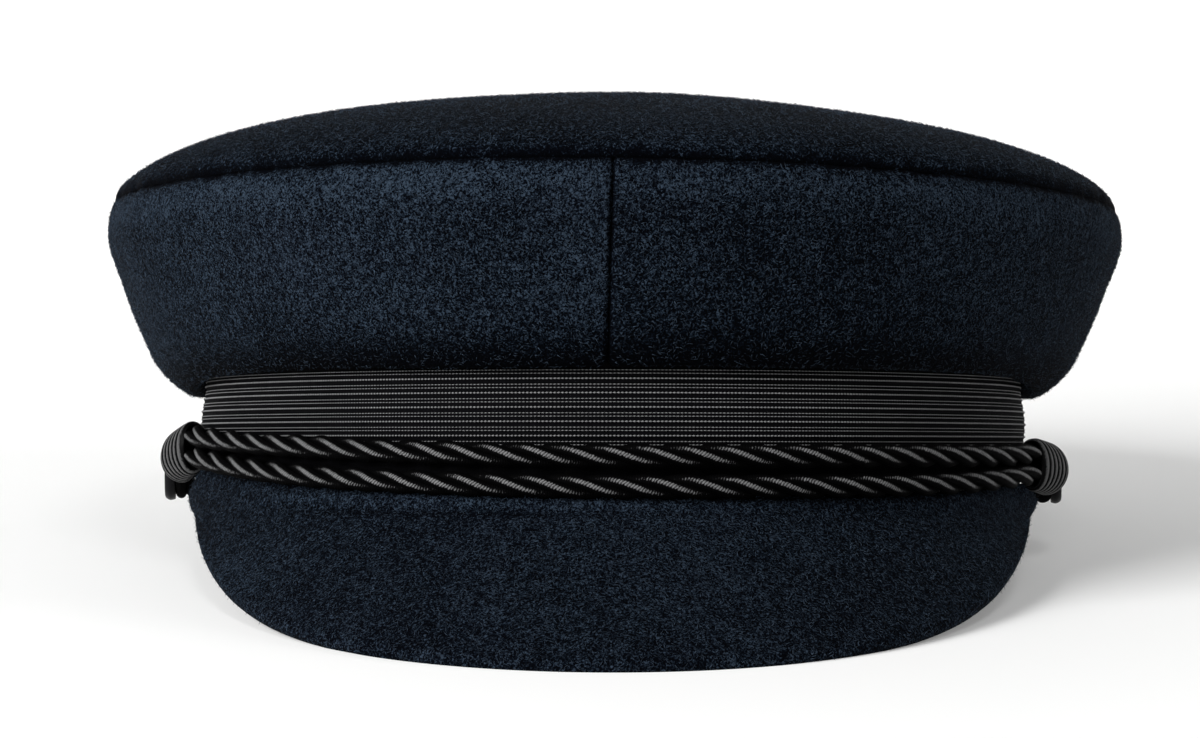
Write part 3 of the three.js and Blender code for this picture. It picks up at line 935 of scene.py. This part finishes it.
class CAP_OT_crown(bpy.types.Operator):
    """Build the two wool side panels, the domed top and the strip inside its seam"""

    bl_idname = "cap.crown"
    bl_label = "Wool Crown"

    def execute(self, context):
        shape, colours = scene_cap()
        self.fibre = fibre_material(colours)
        # The right panel takes a darker copy of the wool, as painted shade
        left, right = wool_material(colours), wool_material(colours, "navy_wool_right")
        for side, name, wool in ((-1, "crown_side_left", left), (1, "crown_side_right", right)):
            dress(self.side_panel(shape, side, name, wool), "wool", name)
        # The top takes a darker copy of the wool, as painted shade
        dress(self.top_panel(shape, wool_material(colours, "navy_wool_top")), "wool", "crown_top")
        dress(self.binding(shape, left), "wool")
        return {"FINISHED"}

    def ease(self, shape, arc):
        """The top seam is drawn in less at the sides than at the front and back"""
        return 1 - 0.8 * (1 - shape.forward(arc)[:, None] ** 2) ** 3

    def side_panel(self, shape, side, name, wool):
        """One half of the crown's side, sewn to the other half at the front and back"""
        count, rows, hidden = MESH["side"]
        levels = 1 - (1 - np.linspace(0, 1, rows)) ** 1.3  # closer together below the top seam
        section = through(SIDE_SECTION, levels)
        even = np.linspace(0, 1, count)
        share = even - 0.8 * np.sin(2 * math.pi * even) / (2 * math.pi)  # closer together beside the two seams
        arc = SEAM + share * (shape.round / 2 - 2 * SEAM)
        lean = FRONT_SEAM_SLANT * (1 - 2 * section[:, 0])
        slant = lean * np.exp(-arc[:, None] / FRONT_SEAM_REACH) * side
        grid = shape.side_points(side * arc, section)
        grid = grid - unit(np.gradient(grid, axis=0)) * slant[..., None]
        out = normals(grid)
        out *= np.sign((out[..., :2] * grid[..., :2]).sum(axis=-1).mean())
        top = distance_from(grid, 1, last=True)
        middle = np.minimum(distance_from(grid, 0), distance_from(grid, 0, last=True))
        depth = tucked("side", top) * self.ease(shape, arc) + tucked("middle", middle)
        rise = swelling("side", grid, top) + puckers(shape, side * arc, top) - depth
        outer = grid + out * rise[..., None]
        inner = grid - out * shape.sizes.cloth
        inner[:, 0] = shape.place(side * arc, GAP, shape.sizes.band_height - GAP)
        loops = np.concatenate([outer, thinned(inner, hidden)[:, ::-1]], axis=1)
        # Painted highlight below the top seam, where the rolled edge catches the light; painted shade in the top seam's
        # crease, in the front and back seams and towards the hem
        painted_highlight = 0.05 * near(top - 0.004, 0.003)
        seam_shade, shaded = 0.12 * near(middle, 0.0004), 0.24 * near(distance_from(grid, 1), 0.0075)
        wear = painted_highlight - crease_shade("side", shape, side * arc, top) - (seam_shade + shaded)
        face, away = (part[NAP_MARGIN:-NAP_MARGIN, :-NAP_MARGIN] for part in (outer, out))
        nap(name, shape.seated(face), away, self.fibre)
        return lofted(name, shape.seated(loops), wool, False, padded_to(wear, loops))

    def top_panel(self, shape, wool):
        """The domed top, from its seam to its middle"""
        count, rows, hidden = MESH["top"]
        rings = 1 - np.linspace(0, 1, rows) ** 1.6  # closer together beside the seam
        arc = np.linspace(0, shape.round, count, endpoint=False)
        grid = shape.top_points(arc, rings)
        out = normals(grid, closed=True)
        out *= np.sign(out[..., 2].mean())
        out[:, -1] = (0, 0, 1)
        rim = distance_from(grid, 1)
        rise = swelling("top", grid, rim) + puckers(shape, arc, rim) - tucked("top", rim) * self.ease(shape, arc)
        outer = grid + out * rise[..., None]
        outer[:, -1] = outer[:, -1].mean(axis=0)
        inner = grid - out * shape.sizes.cloth
        inner[:, -1] = inner[:, -1].mean(axis=0)
        loops = np.concatenate([outer, thinned(inner, hidden)[:, ::-1]], axis=1)
        face, away = (np.concatenate([part, part[:1]])[:, NAP_MARGIN:] for part in (outer, out))
        nap("crown_top", shape.seated(face), away, self.fibre)
        # Painted shade in the crease of the top seam
        wear = -crease_shade("top", shape, arc, rim)
        return lofted("crown_top", shape.seated(loops), wool, True, padded_to(wear, loops))

    def binding(self, shape, wool):
        """A strip that covers the top seam from inside"""
        arc = np.linspace(0, shape.round, MESH["binding"], endpoint=False)
        side, top = shape.side_points(arc, SIDE_SECTION[-2:]), shape.top_points(arc, np.array([BINDING["ring"]]))
        rows = np.concatenate([side, top], axis=1)
        out = np.pad(shape.foot(arc)[1], ((0, 0), (0, 1)))[:, None]
        outer, inner = (rows - out * (shape.sizes.cloth + BINDING[face]) for face in ("near", "far"))
        loops = np.concatenate([outer, inner[:, ::-1]], axis=1)
        return lofted("crown_binding", shape.seated(loops), wool, True)


class CAP_OT_band(bpy.types.Operator):
    """Build the ribbon's wall and its raised threads"""

    bl_idname = "cap.band"
    bl_label = "Ribbed Band"

    def execute(self, context):
        shape, colours = scene_cap()
        dress(self.wall(shape, ribbon_material(colours)), "ribbon", "band")
        dress(self.threads(shape, thread_material(colours)), "ribbon")
        return {"FINISHED"}

    def wall(self, shape, material):
        """The ribbon's ground with the cloth behind it, as one wall"""
        sizes = shape.sizes
        count, levels = MESH["band"]
        height = np.linspace(0, sizes.band_height, levels)
        phase = np.mod((height - self.first_rib(sizes)) / sizes.rib_pitch, 1)
        depth = np.interp(phase, *np.array(RIBBON_SECTION).T)
        outer = np.stack([-depth, height], axis=1)
        inner = np.array([(-sizes.band_wall, sizes.band_height), (-sizes.band_wall, 0)])
        rows = np.vstack([outer, inner])
        arc = np.linspace(0, shape.round, count, endpoint=False)
        swell = shape.band_swell(arc[:, None], rows[:, 1])
        loops = shape.place(arc[:, None], rows[:, 0] + swell, rows[:, 1])
        return lofted("band", shape.seated(loops), material, closed=True)

    def first_rib(self, sizes):
        return FIRST_RIB * sizes.rib_pitch

    def pressed(self, shape, arc, height):
        """How far the cord flattens the ribs that lie under it"""
        way = np.mod(arc + shape.round / 2, shape.round) - shape.round / 2
        away, rise = np.abs(height - shape.cord_height(way)), shape.strand_rise(way)
        between = 1 - smooth((away - rise) / BAND_GIVE_EDGE, 0, 1)
        return BAND_GIVE * between * (1 - smooth(np.abs(way), shape.slide_front, shape.slide_rear))

    def threads(self, shape, material):
        """One main rib and two fine dotted rows in each pitch of the ribbon"""
        sizes = shape.sizes
        arc = np.linspace(0, shape.round, MESH["threads"], endpoint=False)
        rows, thick = [], []
        for rib in range(int(sizes.band_height / sizes.rib_pitch)):
            for step, depth, width in RIBBON_THREADS:
                height = self.first_rib(sizes) + (rib + step) * sizes.rib_pitch
                if height < CROWN["hem"]["front"]:
                    out = shape.band_swell(arc, height) - depth - self.pressed(shape, arc, height)
                    rows.append(shape.place(arc, out, height))
                    thick.append(np.full(len(arc), width))
        source = lines("rows", shape.seated(np.array(rows)), True, thick=np.array(thick))
        long = THREAD_OVERLAP * sizes.thread_pitch
        values = {"Pitch": sizes.thread_pitch, "Length": long, "Material": material}
        return grown(source, ribbon_tree(), values, "band_threads")


class CAP_OT_peak(bpy.types.Operator):
    """Build the wool-covered peak"""

    bl_idname = "cap.peak"
    bl_label = "Peak"

    def execute(self, context):
        shape, colours = scene_cap()
        count, rows, hidden = MESH["peak"]
        arc = np.linspace(-PEAK_REACH, PEAK_REACH, count) * shape.round
        middle = self.middle(shape, arc, rows)
        across = normals(middle)
        across *= np.sign(across[..., 2].mean())
        along = distance_from(middle, 1)
        bowed = (smooth(-arc, -0.05, 0.03) - smooth(-arc, 0.04, 0.085))[:, None]
        upper = self.upper(shape, arc, middle, across, along, bowed)
        lower = thinned(middle - across * shape.rim_radius, hidden)
        rim = self.rim(shape, middle, across)
        loops = np.concatenate([upper, rim, lower[:, ::-1]], axis=1)[:, :-1]
        face = np.concatenate([upper, rim[:, :NAP_ON_RIM]], axis=1)
        away = np.concatenate([across, np.repeat(across[:, -1:], NAP_ON_RIM, axis=1)], axis=1)
        nap("peak", shape.seated(face), away, fibre_material(colours))
        # Painted highlight on the roll along the root and painted shade below it, strongest where the cloth bows
        painted_highlight, shaded = 0.05 * near(along - 0.0022, 0.0014), 0.04 * near(along - 0.0042, 0.001)
        wear = padded_to((painted_highlight - shaded) * bowed, loops)
        # The peak takes a darker copy of the wool, as painted shade
        wool = wool_material(colours, "navy_wool_peak")
        dress(lofted("peak", shape.seated(loops), wool, False, wear), "wool", "peak")
        return {"FINISHED"}

    def middle(self, shape, arc, rows):
        """Half way through the peak, whose ends roll outwards at their root"""
        grid = shape.peak_middle(arc[:, None], np.linspace(0, 1, rows)[None, :])
        rolled = PEAK_END_ROLL * smooth(np.abs(arc) / shape.round, *PEAK_END_ROLL_SHARES)[:, None]
        rolled = rolled * (1 - smooth(distance_from(grid, 1), 0.0005, 0.0055))
        grid[..., :2] += shape.foot(arc)[1][:, None] * rolled[..., None]
        return grid

    def upper(self, shape, arc, middle, across, along, bowed):
        """The upper face, with a roll and a groove along its root and a lip that is raised to the cord. The roll is
        strongest where the cloth bows, left of the middle."""
        roll = 0.0008 * near(along - 0.0016, 0.0011) - 0.0004 * near(along - 0.0035, 0.0007)
        rise = shape.rim_radius + roll * (0.35 + 0.65 * bowed) + swelling("peak", middle, along)
        upper = middle + across * rise[..., None]
        under_cord = shape.cord_height(arc) - shape.strand_rise(arc) - shape.cord_radius
        lip = np.maximum(under_cord + PEAK_LIP - PEAK_ROOT, 0)
        lip *= 1 - 0.6 * smooth(np.abs(arc), shape.slide_front, shape.slide_rear)
        upper[..., 2] += lip[:, None] * np.clip(1 - along / PEAK_LIP_LENGTH, 0, 1) ** 2
        return upper

    def rim(self, shape, middle, across):
        """The half-round edge, a little uneven"""
        angle = np.linspace(math.pi / 2, -math.pi / 2, MESH["rim"])[1:-1]
        end, across = middle[:, -1:], across[:, -1:]
        ahead = unit(middle[:, -1] - middle[:, -2])[:, None]
        rim = end + shape.rim_radius * (across * np.sin(angle)[:, None] + ahead * np.cos(angle)[:, None])
        return rim + across * (0.00025 * waves(end, 0.018, 8))[..., None]


class CAP_OT_cord(bpy.types.Operator):
    """Twist the cord from its plies along its closed way"""

    bl_idname = "cap.cord"
    bl_label = "Twisted Cord"

    def execute(self, context):
        shape, colours = scene_cap()
        sizes = shape.sizes
        route, arc, away = shape.cord_route()
        lead = sizes.cord_lead * (1 + CORD_LOOSENING * np.minimum(np.abs(arc) / CORD_LOOSE_AT, 1.05) ** 4)
        steps = np.linalg.norm(np.diff(route, axis=0), axis=1)
        turn = np.concatenate([[0], np.cumsum(steps / lead[1:])])
        whole = round(turn[-1])  # so that the plies meet where the loop closes
        turn = turn * whole / turn[-1] + CORD_PHASE
        ply = shape.cord_radius / (1 + 2 / math.sqrt(3))  # radius of three plies that touch inside the cord's round
        values = {
            "Step": sizes.cord_lead / ROPE_MESH["steps"], "Plies": 3, "Offset": ply * 2 / math.sqrt(3),
            "Radius": PLY_SWELL * ply, "Sides": ROPE_MESH["sides"], "Material": cord_material(colours)}
        source = lines("way", route[None], False, turn=turn[None], away=unit(away)[None])
        dress(grown(source, rope_tree(), values, "cord"), "cord", "cord")
        return {"FINISHED"}


class CAP_OT_slides(bpy.types.Operator):
    """Wind a thread round both strands of the cord, near each of its ends"""

    bl_idname = "cap.slides"
    bl_label = "Cord Slides"

    def execute(self, context):
        shape, colours = scene_cap()
        material = winding_material(colours)
        for side, name in ((-1, "cord_slide_left"), (1, "cord_slide_right")):
            dress(self.winding(shape, side, name, material), "cord", name)
        return {"FINISHED"}

    def winding(self, shape, side, name, material):
        """A tube round both strands, with the turns of its thread as ridges"""
        count, sides = MESH["slide"]
        angle = np.linspace(0, 2 * math.pi, sides, endpoint=False)[:, None]
        share = np.linspace(0, 1, count)
        phase = np.mod(shape.sizes.slide_turns * share + side * angle / (2 * math.pi), 1) - 0.5
        crest = np.sqrt(np.clip(1 - (1.9 * phase) ** 2, 0, 1))
        closing = SLIDE_GROUND * np.abs(2 * share - 1) ** 10  # the two ends close in on the cord
        radius = shape.cord_radius + SLIDE_GROUND + SLIDE_RIDGE * crest - closing
        outer = self.rings(shape, side, angle, share, radius)
        inner = self.rings(shape, side, angle, share[::-12], shape.cord_radius)
        loops = np.concatenate([outer, inner], axis=1)
        # The crests of the turns carry a painted highlight
        return lofted(name, shape.seated(loops), material, True, padded_to(crest, loops))

    def rings(self, shape, side, angle, share, radius):
        """Ovals round both strands, which bulge away from the band more towards the rear"""
        spread = (share - 0.5) * SLIDE_LENGTH * (0.85 + 0.15 * np.cos(angle) ** 2)
        arc = side * (shape.slide_arc + spread)
        bulge = np.interp(share, [0, 0.75, 1], [0, 0.0012, 0.001]) * np.maximum(np.cos(angle), 0)
        height = shape.cord_height(arc) + (shape.strand_rise(arc) + radius) * np.sin(angle)
        outward = shape.cord_outward(arc) + radius * np.cos(angle) + bulge
        return shape.place(arc, np.maximum(outward, shape.band_swell(arc, height) + SLIDE_CLEARANCE), height)


class CAP_OT_buttons(bpy.types.Operator):
    """Turn the two side buttons that hold the cord"""

    bl_idname = "cap.buttons"
    bl_label = "Side Buttons"

    def execute(self, context):
        shape, colours = scene_cap()
        material = button_material(colours)
        back = shape.end_outward + shape.cord_radius
        radius, shank, thick = shape.sizes.button_radius, BUTTON_SHANK, BUTTON_THICKNESS
        stem = [(AXIS, GAP), (shank, GAP), (shank, back - BUTTON_FILLET), (shank + BUTTON_FILLET, back)]
        face = [(share * radius, back + rise * thick) for share, rise in BUTTON_SECTION]
        profile = np.array([*stem, *face, (AXIS, face[-1][1])])
        count, sides = MESH["button"]
        rows = through(profile, np.linspace(0, 1, count))
        turn = np.linspace(0, 2 * math.pi, sides, endpoint=False)
        for side, name in ((-1, "button_left"), (1, "button_right")):
            foot, out = (np.append(v, 0) for v in shape.foot(np.array(side * shape.button_arc)))
            across = np.array([-out[1], out[0], 0])
            spoke = np.cos(turn)[:, None] * across + np.sin(turn)[:, None] * (0, 0, 1)
            loops = foot + (0, 0, shape.button_height(side)) + rows[:, 1:] * out + rows[:, :1] * spoke[:, None]
            dress(lofted(name, shape.seated(loops), material, closed=True), "button", name)
        return {"FINISHED"}


class CAP_OT_stage(bpy.types.Operator):
    """Set the pale floor, the soft lights and the camera"""

    bl_idname = "cap.stage"
    bl_label = "Studio Stage"

    def execute(self, context):
        self.floor(context.scene.cap_colours)
        self.lights()
        self.camera()
        return {"FINISHED"}

    def floor(self, colours):
        """A floor that curves up into a backdrop"""
        half_width, front, back, radius, top = 5, -4, 2, 0.8, 4
        angles = np.linspace(-math.pi / 2, 0, MESH["floor"])
        bend = [(back + radius * math.cos(angle), radius + radius * math.sin(angle)) for angle in angles]
        sweep = [(front, 0), *bend, (back + radius, top)]
        points = np.array([(x, y, z) for x in (-half_width, half_width) for y, z in sweep])
        number = np.arange(len(sweep) - 1)
        faces = np.stack([number, number + len(sweep), number + len(sweep) + 1, number + 1], axis=1)
        mesh = bpy.data.meshes.new("floor")
        mesh.from_pydata(points.tolist(), [], faces.tolist())
        mesh.shade_smooth()
        mesh.materials.append(floor_material(colours))
        linked("floor", mesh)

    def lights(self):
        world = bpy.data.worlds.new("studio")
        bpy.context.scene.world = world
        world.use_nodes = True
        sky = world.node_tree.nodes["Background"].inputs
        sky["Color"].default_value = (1, 1, 1, 1)
        sky["Strength"].default_value = 0.16
        cap, backdrop = (0, 0, 0.04), (0, 2.8, 0.5)
        for name, place, aim, size, power in (
            ("key", (-1.05, -0.95, 0.66), cap, 0.8, 36),
            ("high", (0.2, -0.95, 1.05), cap, 0.3, 2.5),
            ("fill", (1.25, -0.35, 0.45), cap, 0.5, 5),
            ("backdrop", (0, 1.0, 1.6), backdrop, 1.6, 40)):
            light = bpy.data.lights.new(name, "AREA")
            light.size = size
            light.energy = power
            lamp = linked(name, light)
            lamp.location = place
            lamp.rotation_euler = (Vector(aim) - lamp.location).to_track_quat("-Z", "Y").to_euler()

    def camera(self):
        data = bpy.data.cameras.new("camera")
        data.sensor_fit = "HORIZONTAL"
        data.sensor_width = 36
        data.lens = CAMERA_LENS
        camera = linked("camera", data)
        camera.location = CAMERA_PLACE
        camera.rotation_euler = (math.pi / 2 + CAMERA_PITCH, 0, -CAMERA_YAW)
        bpy.context.scene.camera = camera
        bpy.context.scene.view_settings.view_transform = "Standard"


class CAP_PT_build(bpy.types.Panel):
    """Lists the operators that build the cap"""

    bl_idname = "CAP_PT_build"
    bl_label = "Fisherman Cap"
    bl_space_type = "VIEW_3D"
    bl_region_type = "UI"
    bl_category = "Cap"

    def draw(self, context):
        for operator in OPERATORS:
            self.layout.operator(operator.bl_idname)


OPERATORS = (CAP_OT_stage, CAP_OT_crown, CAP_OT_band, CAP_OT_peak, CAP_OT_cord, CAP_OT_slides, CAP_OT_buttons)
CLASSES = (CapSizes, CapColours, *OPERATORS, CAP_PT_build)


def register():
    for cls in CLASSES:
        bpy.utils.register_class(cls)
    bpy.types.Scene.cap_sizes = PointerProperty(type=CapSizes)
    bpy.types.Scene.cap_colours = PointerProperty(type=CapColours)


def unregister():
    del bpy.types.Scene.cap_sizes
    del bpy.types.Scene.cap_colours
    for cls in reversed(CLASSES):
        bpy.utils.unregister_class(cls)


def main():
    register()
    bpy.ops.cap.stage()
    bpy.ops.cap.crown()
    bpy.ops.cap.band()
    bpy.ops.cap.peak()
    bpy.ops.cap.cord()
    bpy.ops.cap.slides()
    bpy.ops.cap.buttons()


if __name__ == "__main__":
    main()
